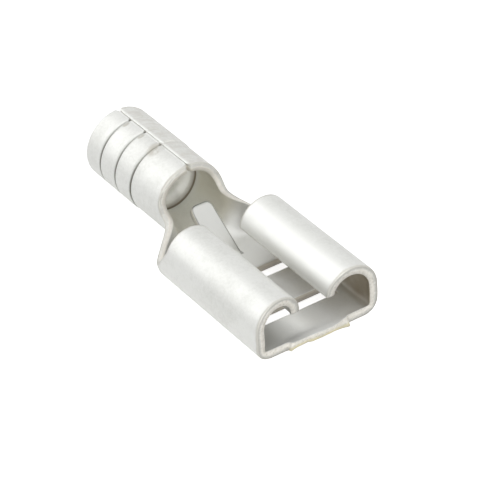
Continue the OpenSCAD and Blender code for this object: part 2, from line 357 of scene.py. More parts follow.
@dataclass(frozen=True)
class TinPlate:
    """Matte tin over brass: clouds, rolling lines, dull spots, grooves darkened with dirt and
    painted shade, brown tarnish and painted shade deep inside, and painted highlights and shadows.

    A layer's start and end are spans along the strip, and its side and across are spans across it,
    in millimetres, and from a landmark where its method adds one. A turn is a span in shares of the
    way round to the seam. A band holds how far a layer reaches from its middle and how far it is
    whole, and the grooves' one is in shares of their width. A break is what broken takes.
    """

    bright: Colour = colour(0.88, 0.885, 0.855)
    dull: Colour = colour(0.79, 0.795, 0.76)
    stain_and_shade: Colour = colour(0.58, 0.56, 0.50)
    soot_and_shadow: Colour = colour(0.13, 0.125, 0.10)
    crease_shade: Colour = colour(0.17, 0.13, 0.08)
    tarnish_and_shade: Colour = colour(0.43, 0.375, 0.29)
    warm: Colour = colour(0.66, 0.63, 0.57)
    olive_shade: Colour = colour(0.78, 0.74, 0.60)
    lit_tin: Colour = colour(0.97, 0.975, 0.945)
    lead_and_shadow: Colour = colour(0.68, 0.685, 0.66)

    skin_span: Span = (0.1, 0.9)
    cloud_noise: Noise = (420.0, 4.0, 0.55)
    cloud_span: Span = (0.38, 0.68)
    cloud_share: float = 0.50
    cloud_depth: float = 0.012 * MM
    cloud_bump: float = 0.6
    patch_noise: Noise = (1500.0, 3.0, 0.6)
    patch_span: Span = (0.40, 0.72)
    patch_share: float = 0.35
    spot_noise: Noise = (2600.0, 4.0, 0.7)
    spot_span: Span = (0.66, 0.78)
    spot_share: float = 0.35
    grain_noise: Noise = (7000.0, 3.0, 0.65)
    grain_share: float = 1.9
    grain_height: float = 0.3
    line_stretch: tuple[float, float, float] = (3.4, 0.28, 1.0)
    line_noise: Noise = (1.6, 5.0, 0.7)
    line_share: float = 0.5
    line_height: float = 0.7
    line_depth: float = 0.005 * MM
    line_bump: float = 0.5
    line_rough: float = 0.06
    metallic: float = 0.55
    smooth: float = 0.39
    rough: float = 0.50

    barrel_end: Span = (0.8, 0.0)
    brush_share: float = 0.40
    brush_mix: Pair = (0.6, 0.4)
    brush_break: Break = (0.15, 0.42, 0.58)
    brush_turn: Span = (0.45, 0.62)
    lip_share: float = 0.9
    lip_break: Break = (0.25, 0.36, 0.52)
    lip_side: Span = (-0.17, -0.10)
    free_share: float = 0.8
    free_start: Span = (0.0, 0.2)
    free_across: Span = (1.6, 2.6)
    inside_dullness: float = 0.40
    middle_share: float = 0.80
    middle_start: Span = (-0.4, 0.4)
    middle_end: Span = (-4.4, -5.4)
    tongue_share: float = 0.90
    tongue_band: Pair = (0.05, 0.02)
    tongue_side: Span = (0.84, 0.80)
    tongue_height: Span = (0.7 * MM, 1.7 * MM)
    curl_share: Pair = (0.68, 0.30)
    curl_clouds: Span = (0.35, 0.65)
    curl_start: Span = (-0.6, 0.6)
    curl_side: Span = (-0.1, 0.9)
    left_share: float = 0.80
    left_start: Span = (-3.4, -2.2)
    left_across: Span = (-0.4, -1.6)
    neck_share: Pair = (0.22, 0.36)
    neck_side: Span = (0.9, 2.6)
    neck_start: Span = (-2.0, -1.2)
    neck_end: Span = (-0.5, 0.8)
    throat_share: float = 0.75
    throat_start: Span = (0.9, 1.7)
    throat_end: Span = (0.6, -0.6)
    foot_share: float = 0.88
    foot_ahead: float = 0.05
    foot_band: Pair = (0.11, 0.02)
    dark_across: Span = (0.5, -0.5)
    dark_turn: Span = (-1.0, -0.48)
    dark_left: Pair = (0.16, 0.74)
    dark_right: float = 0.04
    dark_band: Pair = (0.50, 0.20)
    blot_share: float = 0.85
    blot_place: float = 0.06
    blot_size: Span = (0.014, 0.002)
    smear_share: float = 0.80
    smear_sizes: tuple[float, ...] = (0.20, 0.03, 0.03)
    smear_ahead: float = 0.16
    smear_place: float = 0.42
    smear_across: float = 0.6
    smear_edge: Span = (1.2, 0.2)
    smear_break: Break = (0.25, 0.36, 0.54)
    roll_wander: float = 0.16
    roll_span: Span = (0.19, 0.04)
    roll_share: float = 0.70
    roll_start: Span = (-0.30, -0.10)
    gap_share: float = 0.60
    gap_behind: float = 0.6
    gap_band: Pair = (0.9, 0.6)
    gap_side: Span = (1.0, 0.9)
    gap_rim: Span = (0.09, 0.02)
    lit_across: Span = (1.2, 0.0)
    lit_start: Span = (-3.0, -2.0)
    lit_end: Span = (-0.1, -0.8)
    shade_start: Span = (-5.2, -4.4)
    shade_side: Span = (0.2, -0.4)
    shade_across: Span = (0.6, 2.4)
    shade_loss: float = 0.50
    shade_olive: float = 0.12

    def make(self, terminal: "TerminalPiece") -> bpy.types.Material:
        """Builds the material.

        Args:
            terminal: The piece that it covers, whose folds, grooves and tongue place the layers.

        Returns:
            The tin finish.
        """
        coat = TinCoat(self, terminal)
        paint = coat.paint
        spots = paint.noise(coat.place, *self.spot_noise).ramp(*self.spot_span)
        coat.lay(self.stain_and_shade, self.spot_share * spots)
        self.dress_outside(coat)
        self.dress_inside(coat)
        self.darken_grooves(coat)
        self.dress_edges(coat)
        shade = self.shade_floor(coat)
        roughness = self.smooth + (self.rough - self.smooth) * coat.dullness
        roughness = roughness + self.line_rough * coat.lines
        normal = paint.bump(coat.clouds, self.cloud_bump, self.cloud_depth)
        relief = self.line_height * coat.lines + self.grain_height * coat.grain
        normal = paint.bump(relief, self.line_bump, self.line_depth, normal)
        return paint.metal(coat.base, self.metallic - self.shade_loss * shade, roughness, normal)

    def dress_outside(self, coat: TinCoat) -> None:
        """Brushes the barrel's right side, and paints highlights on the seam's lips and light on
        the right curl.

        Args:
            coat: The finish in the making.
        """
        strip, outer = coat.strip, coat.outer
        rear, mouth, seam = strip.floor_rear, strip.mouth_x, strip.barrel_half
        barrel_end = shifted(mouth, self.barrel_end)
        lines, patches = self.brush_mix
        marks = broken(lines * coat.lines + patches * coat.patches, *self.brush_break)
        right = (seam * self.brush_turn[0], seam * self.brush_turn[1])
        coat.lay(self.warm, self.brush_share * outer * marks, front=barrel_end, across=right)
        # Painted highlight: the seam's rounded lips are laid in a bright clean tin.
        lip_highlight = self.lip_share * outer * broken(coat.patches, *self.lip_break)
        coat.lay(self.lit_tin, lip_highlight, front=barrel_end, side=shifted(seam, self.lip_side))
        # Painted light: the outer skin towards the right curl's free end is laid in a brighter tin.
        start, free = shifted(rear, self.free_start), shifted(strip.wall_end, self.free_across)
        coat.lay(self.lit_tin, self.free_share * outer, rear=start, across=free)

    def dress_inside(self, coat: TinCoat) -> None:
        """Tones the tongue and the neck, paints light on the inner skins, and paints shade into the
        curls, the neck, the bead's foot and the floor's front left; the curls are also tarnished
        brown.

        Args:
            coat: The finish in the making.
        """
        strip, inner = coat.strip, coat.inner
        rear, mouth, half = strip.floor_rear, strip.mouth_x, strip.floor_half
        # Painted light: the inner skins get a brighter tin, which lightens the hollows.
        coat.lay(self.lit_tin, inner * (1.0 - self.inside_dullness * coat.dullness))
        start = shifted(rear, self.middle_start)
        coat.lay(self.dull, inner * self.middle_share, rear=start, front=self.middle_end)
        coat.lay(
            self.lead_and_shadow,
            inner * self.tongue_share,
            side=self.tongue_side,
            height=self.tongue_height,
            **band(-coat.tongue.root, *self.tongue_band),
        )
        # Brown tarnish and painted shade inside the curls, where little light reaches.
        least, more = self.curl_share
        brown_and_shade = inner * (least + more * coat.clouds.ramp(*self.curl_clouds))
        start, curls = shifted(rear, self.curl_start), shifted(half, self.curl_side)
        coat.lay(self.tarnish_and_shade, brown_and_shade, rear=start, side=curls)
        # Painted shadow of the left curl on the front of the floor's left side.
        left = inner * self.left_share
        coat.lay(self.lead_and_shadow, left, rear=self.left_start, across=self.left_across)
        # Painted shade: an olive tint deep in the neck, stronger up its walls.
        least, more = self.neck_share
        deep_shade = inner * (least + more * coat.side.ramp(*self.neck_side))
        end = (rear + self.neck_end[0], mouth + self.neck_end[1])
        coat.lay(self.olive_shade, deep_shade, rear=shifted(mouth, self.neck_start), front=end)
        start, end = shifted(mouth, self.throat_start), shifted(rear, self.throat_end)
        coat.lay(self.lead_and_shadow, inner * self.throat_share, rear=start, front=end)
        # Painted shade in the crease at the foot of the bead.
        foot = mouth - coat.barrel.bead_start + self.foot_ahead
        coat.lay(self.crease_shade, inner * self.foot_share, **band(foot, *self.foot_band))

    def darken_grooves(self, coat: TinCoat) -> None:
        """Darkens the grooves with dirt and painted shade, most on the lower left, and paints a
        shadow blot where the seam opens at each groove's end, with a stain smear beside it.

        Args:
            coat: The finish in the making.
        """
        seam, width = coat.strip.barrel_half, coat.barrel.groove_width
        # Groove dirt and painted shade, darkest on the lower left, away from the light.
        left = coat.round_fold.ramp(*self.dark_across)
        low = coat.round_fold.ramp(*(seam * turn for turn in self.dark_turn))
        least, more = self.dark_left
        dirt_and_shade = coat.outer * (left * (least + more * low) + (1.0 - left) * self.dark_right)
        reach, whole = (width * share for share in self.dark_band)
        grooves = coat.barrel.grooves(coat.strip.mouth_x)
        for groove, size in zip(grooves, self.smear_sizes):
            coat.lay(self.soot_and_shadow, dirt_and_shade, **band(groove, reach, whole))
            # Painted shadow where the seam's gap opens at the groove's end.
            blot = coat.off(groove, self.blot_place - seam).ramp(*self.blot_size)
            coat.lay(self.soot_and_shadow, self.blot_share * blot * coat.outer)
            smear = coat.off(groove + self.smear_ahead, self.smear_place - seam, self.smear_across)
            smear = smear.ramp(*(size * edge for edge in self.smear_edge))
            smear = smear * broken(coat.patches, *self.smear_break)
            coat.lay(self.stain_and_shade, self.smear_share * smear * coat.outer)

    def dress_edges(self, coat: TinCoat) -> None:
        """Paints shade on the outer skin where it rolls over to a cut edge, and a shadow in the gap
        at the tongue's root.

        Args:
            coat: The finish in the making.
        """
        # Painted shade on the outer skin where it rolls over to a cut edge.
        near = (coat.rim + self.roll_wander * (coat.patches - MIDDLE)).ramp(*self.roll_span)
        start = shifted(coat.strip.mouth_x, self.roll_start)
        coat.lay(self.stain_and_shade, self.roll_share * near * coat.outer, rear=start)
        # Painted shadow in the gap between the tongue and the window's edge.
        gap = band(-coat.tongue.root - self.gap_behind, *self.gap_band)
        share = self.gap_share * coat.inner
        coat.lay(self.soot_and_shadow, share, side=self.gap_side, rim=self.gap_rim, **gap)

    def shade_floor(self, coat: TinCoat) -> Value:
        """Paints an olive shade tint on the right of the floor that the curls shade.

        Args:
            coat: The finish in the making.

        Returns:
            1 on the shaded floor, which is less glossy.
        """
        along, across, half = coat.along, coat.round_fold, coat.strip.floor_half
        lit = along.ramp(*self.lit_start) * along.ramp(*self.lit_end)
        lit = lit * across.ramp(*self.lit_across)
        covered = coat.side.ramp(*shifted(half, self.shade_side))
        shade = coat.inner * along.ramp(*self.shade_start) * covered * (1.0 - lit)
        # Painted shade: an olive tint on the floor under the curls.
        coat.lay(self.olive_shade, self.shade_olive * shade, across=self.shade_across)
        return shade


@dataclass(frozen=True)
class ShearedEdge:
    """A sheared edge: a painted shade line where it rolls over, a bright band, a torn beige one,
    brass at the break, and painted shade in the slots.

    Spans across the edge run from -1 at the outer skin to 1 at the inner one. Where a share is a
    pair, it is the share all round and what the front edge adds to it.
    """

    rollover_shade: Colour = colour(0.50, 0.49, 0.45)
    burnished: Colour = colour(0.73, 0.725, 0.68)
    torn: Colour = colour(0.84, 0.815, 0.75)
    pit: Colour = colour(0.50, 0.47, 0.40)
    fleck: Colour = colour(0.93, 0.91, 0.86)
    brass: Colour = colour(0.86, 0.79, 0.50)
    slot_shade: Colour = colour(0.47, 0.43, 0.36)
    metallic: float = 0.5
    smooth: float = 0.40
    band_rough: float = 0.14
    tear_rough: float = 0.12
    wander_noise: Noise = (1400.0, 3.0, 0.6)
    tearing_noise: Noise = (7000.0, 3.0, 0.65)
    tearing_span: Span = (0.50, 0.68)
    front_start: Span = (-0.8, -0.3)
    band_wander: float = 1.4
    band_span: Span = (-0.30, 0.05)
    band_depth: float = 0.02 * MM
    band_bump: float = 0.8
    tear_bump: float = 0.7
    pit_share: Pair = (0.10, 0.30)
    fleck_share: Pair = (0.30, 0.40)
    slot_start: Span = (-6.3, -6.2)
    slot_end: Span = (-1.2, -1.0)
    slot_side: Span = (2.72, 2.8)
    slot_share: float = 0.7
    roll_wander: float = 0.9
    roll_span: Span = (-0.20, -0.75)
    roll_share: Pair = (0.20, 0.60)
    stub_start: Span = (0.08 * MM, 0.14 * MM)
    brass_share: Pair = (0.10, 1.1)
    brass_span: Span = (0.2, -0.6)

    def make(self) -> bpy.types.Material:
        """Builds the material.

        Returns:
            The cut edge's finish.
        """
        edge = StripMap(Paint("sheared_edge"))
        paint = edge.paint
        wander = paint.noise(edge.place, *self.wander_noise)
        tearing = paint.noise(edge.place, *self.tearing_noise)
        front = edge.along.ramp(*self.front_start)
        shares = (self.pit_share, self.fleck_share, self.roll_share)
        pitted, flecked, rollover_shade = (all_round + more * front for all_round, more in shares)
        beige = (edge.through + self.band_wander * (wander - MIDDLE)).ramp(*self.band_span)
        tone = paint.blend(beige, self.burnished, self.torn)
        tone = paint.blend(pitted * tearing.ramp(*self.tearing_span), tone, self.pit)
        tone = paint.blend(flecked * (1.0 - tearing).ramp(*self.tearing_span), tone, self.fleck)
        # Painted shade on the cut faces in the slots, which the curls shadow.
        in_slot = edge.along.ramp(*self.slot_start) * (1.0 - edge.along.ramp(*self.slot_end))
        in_slot = in_slot * (1.0 - edge.side.ramp(*self.slot_side))
        tone = paint.blend(self.slot_share * in_slot, tone, self.slot_shade)
        # Painted shade along the rolled-over outer line of the edge.
        roll = (edge.through + self.roll_wander * (wander - MIDDLE)).ramp(*self.roll_span)
        tone = paint.blend(rollover_shade * roll, tone, self.rollover_shade)
        snapped = paint.axis(edge.place, "X").ramp(*self.stub_start)
        least, more = self.brass_share
        bare = snapped * (least + more * wander) * edge.through.ramp(*self.brass_span)
        tone = paint.blend(bare.clamp(), tone, self.brass)
        roughness = self.smooth + self.band_rough * beige + self.tear_rough * tearing
        normal = paint.bump(beige, self.band_bump, self.band_depth)
        normal = paint.bump(tearing, self.tear_bump, self.band_depth, normal)
        return paint.metal(tone, self.metallic, roughness, normal)


# -----------------------------------------------------------------------------
# The strip
# -----------------------------------------------------------------------------


Wave = tuple[float, float, float]


def eased(share: np.ndarray) -> np.ndarray:
    """A smooth step from 0 to 1, held flat outside."""
    s = np.clip(share, 0.0, 1.0)
    return s * s * (3.0 - 2.0 * s)


@dataclass
class Strip:
    """Sizes of the strip, and how it folds.

    Along the strip x runs from the barrel's rear end to the front edge at 0, and u is the distance
    from the middle line, measured round the folds.
    """

    low: Sequence[float]
    high: Sequence[float]
    sheet: float = 0.45
    receptacle_height: float = 3.22
    receptacle_length: float = 8.65
    corner_radius: float = 0.88
    curl_radius: float = 1.48
    curl_overturn: float = 1.0
    front_lean: float = 0.46
    front_setback: float = 0.06
    rear_setback: float = 0.7
    rear_lean_height: float = 1.0
    neck_length: float = 2.55
    waist_half: float = 2.95
    mouth_rise: float = 1.2
    mouth_fillet: float = 0.6
    wall_foot: float = 0.24
    flare_length: float = 1.5
    fold_delay: float = 2.4
    barrel_bore: float = 3.3
    barrel_lift: float = 0.06
    seam_gap: float = 0.012
    seam_notch: float = 0.28

    def __post_init__(self) -> None:
        """Works out the lengths that follow from the sizes."""
        self.half_width = (self.high[1] - self.low[1]) / MM / 2.0
        self.rear_x = self.low[0] / MM
        self.stub_length = self.high[0] / MM
        self.floor_half = self.half_width - self.corner_radius
        self.floor_rear = -self.receptacle_length
        self.mouth_x = self.floor_rear - self.neck_length
        self.fold_barrel = (self.barrel_bore + self.sheet) / 2.0
        self.barrel_z = self.barrel_bore / 2.0 + self.sheet + self.barrel_lift
        self.fold_corner = self.corner_radius - self.sheet / 2.0
        self.fold_curl = self.curl_radius - self.sheet / 2.0
        corner_girth = self.fold_corner * math.pi / 2.0
        wall = self.receptacle_height - self.curl_radius - self.corner_radius
        self.corner_end = self.floor_half + corner_girth
        self.root_half = self.corner_end + self.wall_foot
        self.wall_end = self.corner_end + wall
        self.wing_half = self.wall_end + self.fold_curl * math.radians(180.0 + self.curl_overturn)
        self.barrel_half = math.pi * self.fold_barrel - self.seam_gap / 2.0

    def opening(self, x: np.ndarray) -> np.ndarray:
        """How far the barrel's round fold has opened into the flat floor, from 0 to 1."""
        return eased((x - self.mouth_x) / self.neck_length) ** self.fold_delay

    def half_girth(self, x: np.ndarray) -> np.ndarray:
        """Half of the neck's width round the fold.

        Args:
            x: Places along the strip.

        Returns:
            The neck's half width at each.
        """
        near_mouth = np.clip((x - self.mouth_x) / self.mouth_fillet, 0.0, 1.0)
        flare_x = self.floor_rear - self.flare_length
        flared = np.clip((x - flare_x) / self.flare_length, 0.0, 1.0)
        fillet = 1.0 - np.sqrt(1.0 - (1.0 - near_mouth) ** 2)
        flare = (self.root_half - self.waist_half) * flared**2
        return self.waist_half + self.mouth_rise * fillet + flare

    def fold(self, x: np.ndarray, u: np.ndarray) -> np.ndarray:
        """Folds the strip's middle layer.

        Args:
            x: Places along the strip.
            u: Places across it, round the fold.

        Returns:
            The folded points, one row each.
        """
        opened = self.opening(x)
        spans = (
            (0.0, self.floor_half, 0.0),
            (self.floor_half, self.corner_end, 1.0 / self.fold_corner),
            (self.corner_end, self.wall_end, 0.0),
            (self.wall_end, math.inf, 1.0 / self.fold_curl),
        )
        reach = np.abs(u)
        y = np.zeros_like(x)
        z = np.zeros_like(x)
        angle = np.zeros_like(x)
        for start, stop, rate in spans:
            turn = (1.0 - opened) / self.fold_barrel + opened * rate
            length = np.clip(reach, start, stop) - start
            straight = np.abs(turn) < SAME
            safe = np.where(straight, 1.0, turn)
            end = angle + turn * length
            y += np.where(straight, length * np.cos(angle), (np.sin(end) - np.sin(angle)) / safe)
            z += np.where(straight, length * np.sin(angle), (np.cos(angle) - np.cos(end)) / safe)
            angle = end
        z += self.sheet / 2.0 + self.barrel_lift * (1.0 - opened)
        return np.stack([x, np.sign(u) * y, z], axis=1)

    def wing_height(self, u: np.ndarray) -> np.ndarray:
        """Height of the wing's middle layer above the floor's underside, at u round the fold."""
        x = np.zeros_like(u)
        return self.fold(x, u)[:, 2]

    def wing_rear(self, u: np.ndarray) -> np.ndarray:
        """Where the wing starts along the strip.

        Args:
            u: Places round the fold.

        Returns:
            The wing's rear end at each.
        """
        foot = self.corner_radius + self.wall_foot
        rising = u <= self.wall_end + self.fold_curl * math.pi / 2.0
        height = np.where(rising, self.wing_height(u), foot + self.rear_lean_height)
        lean = np.clip((height - foot) / self.rear_lean_height, 0.0, 1.0)
        return self.floor_rear + self.rear_setback * lean

    def wing_front(self, u: np.ndarray) -> np.ndarray:
        """Where the wing ends at the front.

        Args:
            u: Places round the fold.

        Returns:
            The wing's front end at each.
        """
        curl = np.clip((u - self.wall_end) / (self.wing_half - self.wall_end), 0.0, 1.0)
        wall = eased((u - self.root_half) / (self.wall_end - self.root_half))
        return -self.front_setback * wall - (self.front_lean - self.front_setback) * curl


@dataclass
class Floor:
    """Cut-outs and forms of the floor, and how its carrier stub broke off.

    A span of the stub's foot is a place across it and the width over which its form grows from
    there. A wave of its tearing is a share, a rate in radians to the millimetre and a phase.
    """

    slot_start: float = 1.88
    slot_width: float = 0.9
    bridge_width: float = 2.36
    slot_half: float = 2.7
    dimple_radius: float = 0.7
    dimple_height: float = 0.2
    stub_half: float = 1.9
    stub_taper: float = 0.2
    stub_skew: float = 0.2
    stub_foot: float = 0.09
    stub_step: float = 0.11
    step_span: Pair = (-0.7, 0.25)
    left_burr: float = 0.14
    left_span: Pair = (1.4, 0.4)
    right_burr: float = 0.19
    right_start: float = 1.0
    right_slope: float = 0.8
    slope_span: Pair = (0.7, 1.1)
    stub_tear: float = 0.02
    tear_waves: tuple[Wave, ...] = ((0.6, 4.1, 0.6), (0.4, 11.3, 0.0), (0.3, 23.0, 1.0))
    stub_steps: int = 3
    front_burr: float = 0.09
    lip_swell: float = 0.07
    lip_length: float = 0.25
    front_tolerance: float = 1e-3
    end_margin: float = 0.01

    def slots(self) -> list[tuple[float, float]]:
        """Finds the two cross slots.

        Returns:
            The rear and the front edge of each.
        """
        first = -self.slot_start
        second = first - self.slot_width - self.bridge_width
        return [(first - self.slot_width, first), (second - self.slot_width, second)]

    def dimple_x(self) -> float:
        """The dimple's middle along the strip."""
        return -self.slot_start - self.slot_width - self.bridge_width / 2.0


@dataclass
class Tongue:
    """The stop tongue that is lanced out of the neck's floor."""

    half_width: float = 0.62
    root_half: float = 0.77
    length: float = 3.55
    rise: float = 36.0
    root: float = 7.5
    bend: float = 0.5
    clearance: float = 0.05
    corner: float = 0.3
    end_margin: float = 0.01
    bend_steps: int = 5
    straight_steps: int = 9

    def taper(self, along: np.ndarray) -> np.ndarray:
        """Width at a distance from the root, as a share of the root's width."""
        share = np.clip(along / self.length, 0.0, 1.0)
        return 1.0 - share * (1.0 - self.half_width / self.root_half)

    def path(self, sheet: float) -> list[tuple[float, float]]:
        """Steps from the root to the free end.

        Args:
            sheet: The strip's thickness.

        Returns:
            The moves along x and z.
        """
        radius = self.bend + sheet / 2.0
        total = math.radians(self.rise)
        straight = (self.length - radius * total) / self.straight_steps
        turns = [total * i / self.bend_steps for i in range(self.bend_steps + 1)]
        points = [(-radius * math.sin(turn), radius * (1 - math.cos(turn))) for turn in turns]
        moves = [(b[0] - a[0], b[1] - a[1]) for a, b in zip(points, points[1:])]
        ahead = (-straight * math.cos(total), straight * math.sin(total))
        return moves + [ahead] * self.straight_steps


@dataclass
class Barrel:
    """Grooves, rings and the bead of the wire barrel."""

    groove_count: int = 3
    groove_pitch: float = 1.43
    groove_start: float = 2.55
    groove_width: float = 0.17
    groove_depth: float = 0.10
    swell: float = 0.04
    right_share: float = 0.35
    bead_start: float = 1.9
    bead_height: float = 0.8
    bead_shoulder: float = 0.65

    def grooves(self, mouth_x: float) -> list[float]:
        """Places of the grooves, the one nearest the mouth first."""
        first = mouth_x - self.groove_start
        return [first - i * self.groove_pitch for i in range(self.groove_count)]

    def outer_shift(self, x: np.ndarray, mouth_x: float, side: np.ndarray) -> np.ndarray:
        """How far the outer skin stands out from its plain radius.

        Args:
            x: Places along the strip.
            mouth_x: The barrel's mouth.
            side: Which side of the middle each point is on, by its sign.

        Returns:
            The shift, negative in a groove.
        """
        grooves = self.grooves(mouth_x)
        share = np.where(side > 0, self.right_share, 1.0)
        shift = np.where(x < grooves[0], self.swell, 0.0)
        for groove in grooves:
            near = np.clip(1.0 - np.abs(x - groove) / (self.groove_width / 2.0), 0.0, 1.0)
            shift = shift - (self.groove_depth + self.swell) * near * share
        return shift

    def inner_shift(self, x: np.ndarray, mouth_x: float) -> np.ndarray:
        """How far the bead stands into the bore.

        Args:
            x: Places along the strip.
            mouth_x: The barrel's mouth.

        Returns:
            The bead's height at each place.
        """
        past_foot = mouth_x - self.bead_start - x
        from_middle = np.abs(past_foot - self.bead_shoulder) / self.bead_shoulder
        return self.bead_height * np.sqrt(np.maximum(1.0 - from_middle**2, 0.0))


@dataclass
class TerminalPiece:
    """The whole folded terminal, as one piece that stands for the CAD node.

    The lines and rows are places of the flat grid. A pair of gaps is the widest that stays between
    two rows, and the least.
    """

    strip: Strip
    floor: Floor
    tongue: Tongue
    barrel: Barrel
    tongue_lines: tuple[float, ...] = (0.0, 0.16, 0.32, 0.46, 0.58, 0.69)
    floor_lines: tuple[float, ...] = (0.95, 1.1, 1.3, 1.5, 1.7, 2.1, 2.3, 2.5, 2.8)
    fixed_half: float = 1.9
    corner_columns: int = 6
    wing_columns: int = 24
    rear_rows: tuple[float, ...] = (0.0, 0.1, 0.3)
    mouth_rows: tuple[float, ...] = (0.3, 0.12)
    bead_rows: tuple[float, ...] = (0.1, 0.0, -0.03, -0.09, -0.2)
    guard: float = 0.1
    slot_guard: float = 0.15
    fillet_rows: int = 6
    barrel_gaps: Pair = (0.24, 0.03)
    neck_gaps: Pair = (0.2, 0.02)
    receptacle_gaps: Pair = (0.22, 0.03)
    floor_top: float = 1.0
    tongue_top: float = 2.6
    outer_crease: float = 0.25
    inner_crease: float = 0.7
    coin_sharpness: float = 8.0
    coin_tolerance: float = 0.1
    coin_reach: float = 1.0
    levels: int = 1

    # ---- layout of the flat grid ----

    def columns(self) -> list[float]:
        """Grid lines across half of the receptacle's floor and corner, out to the wing's root.

        Returns:
            Each line's place round the fold.
        """
        s, t = self.strip, self.tongue
        lines = {*self.tongue_lines, t.root_half, t.root_half + t.clearance}
        lines |= {*self.floor_lines, self.fixed_half, self.floor.slot_half}
        girth, parts = s.corner_end - s.floor_half, self.corner_columns
        turns = [s.floor_half + girth * i / parts for i in range(parts + 1)]
        return sorted(lines) + turns + [s.root_half]

    def rows(self) -> list[tuple[float, str]]:
        """Grid lines along the strip.

        Returns:
            Each line's place and the region that starts there.
        """
        s, t = self.strip, self.tongue
        edge, spread = self.barrel.groove_width / 2.0, self.barrel.bead_shoulder
        bead = s.mouth_x - self.barrel.bead_start - spread
        stops = {s.rear_x + k for k in self.rear_rows} | {s.mouth_x - k for k in self.mouth_rows}
        for side in (-1, 1):
            for groove in self.barrel.grooves(s.mouth_x):
                stops |= {groove + side * k for k in (0.0, edge / 2, edge, edge + self.guard)}
            stops |= {bead + side * (spread + k) for k in self.bead_rows}
        barrel = fill_gaps(stops | {s.mouth_x}, *self.barrel_gaps)
        turns = [math.pi / 2 * i / self.fillet_rows for i in range(1, self.fillet_rows + 1)]
        near = {s.mouth_x + s.mouth_fillet * (1.0 - math.cos(turn)) for turn in turns}
        window = -t.root - t.length
        stops = near | {s.mouth_x, window, window - self.guard, s.floor_rear}
        neck = fill_gaps(stops, *self.neck_gaps)
        stops = {s.floor_rear, s.floor_rear + self.guard, -t.root, -t.root + self.guard}
        stops |= {-self.guard, 0.0}
        for rear, front in self.floor.slots():
            stops |= {rear - self.guard, rear, rear + self.slot_guard}
            stops |= {front - self.slot_guard, front, front + self.guard}
        receptacle = fill_gaps(stops, *self.receptacle_gaps)
        return (
            [(x, "barrel") for x in barrel[:-1]]
            + [(x, "neck") for x in neck[:-1]]
            + [(x, "receptacle") for x in receptacle]
        )

    def place(self, x: np.ndarray, column: np.ndarray) -> tuple[np.ndarray, np.ndarray]:
        """Flat place of grid points.

        Args:
            x: The row's place along the strip.
            column: The signed column number.

        Returns:
            Places along and across the strip.
        """
        s = self.strip
        lines = np.array(self.columns())
        number = np.abs(column)
        last = len(lines) - 1
        base = lines[np.minimum(number, last)]
        edge = np.where(x < s.mouth_x, s.waist_half + s.mouth_rise, s.half_girth(x))
        edge = np.where(x >= s.floor_rear, s.root_half, edge)
        fixed = self.fixed_half
        scale = (edge - fixed) / (s.root_half - fixed)
        u = np.where(base > fixed, fixed + (base - fixed) * scale, base)
        beside_tongue = base <= self.tongue.root_half + self.tongue.clearance + SAME
        u = np.where(beside_tongue, base * self.tongue.taper(-self.tongue.root - x), u)
        beyond = np.clip((number - last) / self.wing_columns, 0.0, 1.0)
        notch = np.minimum(x - s.rear_x, s.mouth_x - x) / s.seam_notch
        seam = s.barrel_half - s.seam_notch / 2.0 * np.clip(1.0 - notch, 0.0, 1.0)
        far = np.where(x <= s.mouth_x, seam, s.wing_half)
        u = np.where(number > last, edge + (far - edge) * beyond, u)
        rear, front = s.wing_rear(u), s.wing_front(u)
        along = rear + (front - rear) * (1.0 - x / s.floor_rear)
        on_wing = (number > last) & (x >= s.floor_rear)
        return np.where(on_wing, along, x), np.sign(column) * u

    # ---- building ----

    def build(self, finishes: Sequence[bpy.types.Material]) -> bpy.types.Object:
        """Builds and dresses the terminal.

        Args:
            finishes: The materials, in the order of the slots.

        Returns:
            The finished piece.
        """
        piece = self.cut_blank()
        self.fold_blank(piece)
        self.raise_tongue(piece)
        self.pull_stub(piece)
        for finish in finishes:
            piece.data.materials.append(finish)
        self.thicken(piece)
        self.press(piece)
        apply_modifier(piece, "SUBSURF", levels=self.levels, render_levels=self.levels)
        self.mark_rims(piece)
        self.settle(piece)
        return piece

    def mark_rims(self, piece: bpy.types.Object) -> None:
        """Stores how far each point lies from the nearest cut edge, in millimetres.

        Args:
            piece: The finished strip, in millimetres.
        """
        points = read_points(piece)
        faces = [face for face in piece.data.polygons if face.material_index == Slot.CUT.value]
        cut = {number for face in faces for number in face.vertices}
        tree = KDTree(len(cut))
        for number in cut:
            tree.insert(points[number], number)
        tree.balance()
        away = [0.0 if i in cut else tree.find(point)[2] for i, point in enumerate(points)]
        add_layer(piece, "rim", np.array(away))

    def cut_blank(self) -> bpy.types.Object:
        """Adds a flat grid, one unit to a cell, and deletes the cells outside the blank.

        Returns:
            The blank, still in rows and columns.
        """
        rows = self.rows()
        half = len(self.columns()) - 1 + self.wing_columns
        cells = len(rows) - 1
        bpy.ops.mesh.primitive_grid_add(x_subdivisions=cells, y_subdivisions=2 * half, size=1.0)
        piece = bpy.context.object
        piece.name = "folded_strip"
        points = read_points(piece)
        points[:, 0] = np.round((points[:, 0] + 0.5) * cells)
        points[:, 1] = np.round(points[:, 1] * 2 * half)
        write_points(piece, points)
        xs = np.array([x for x, _ in rows])
        regions = np.array([region for _, region in rows])
        lines = self.columns()
        root = len(lines) - 1
        t = self.tongue

        def waste(centre: Vector) -> bool:
            """Tells whether a cell is cut away.

            Args:
                centre: The cell's centre, in rows and columns.

            Returns:
                Whether it goes.
            """
            row = int(centre.x)
            x = (xs[row] + xs[row + 1]) / 2.0
            column = abs(centre.y)
            if column > root:
                return bool(regions[row] == "neck")
            u = lines[int(column)]
            if -t.root - t.length < x < -t.root and u < t.half_width + t.clearance - SAME:
                return True
            in_slot = any(rear < x < front for rear, front in self.floor.slots())
            return in_slot and u < self.floor.slot_half - SAME

        delete_faces(piece, waste)
        return piece

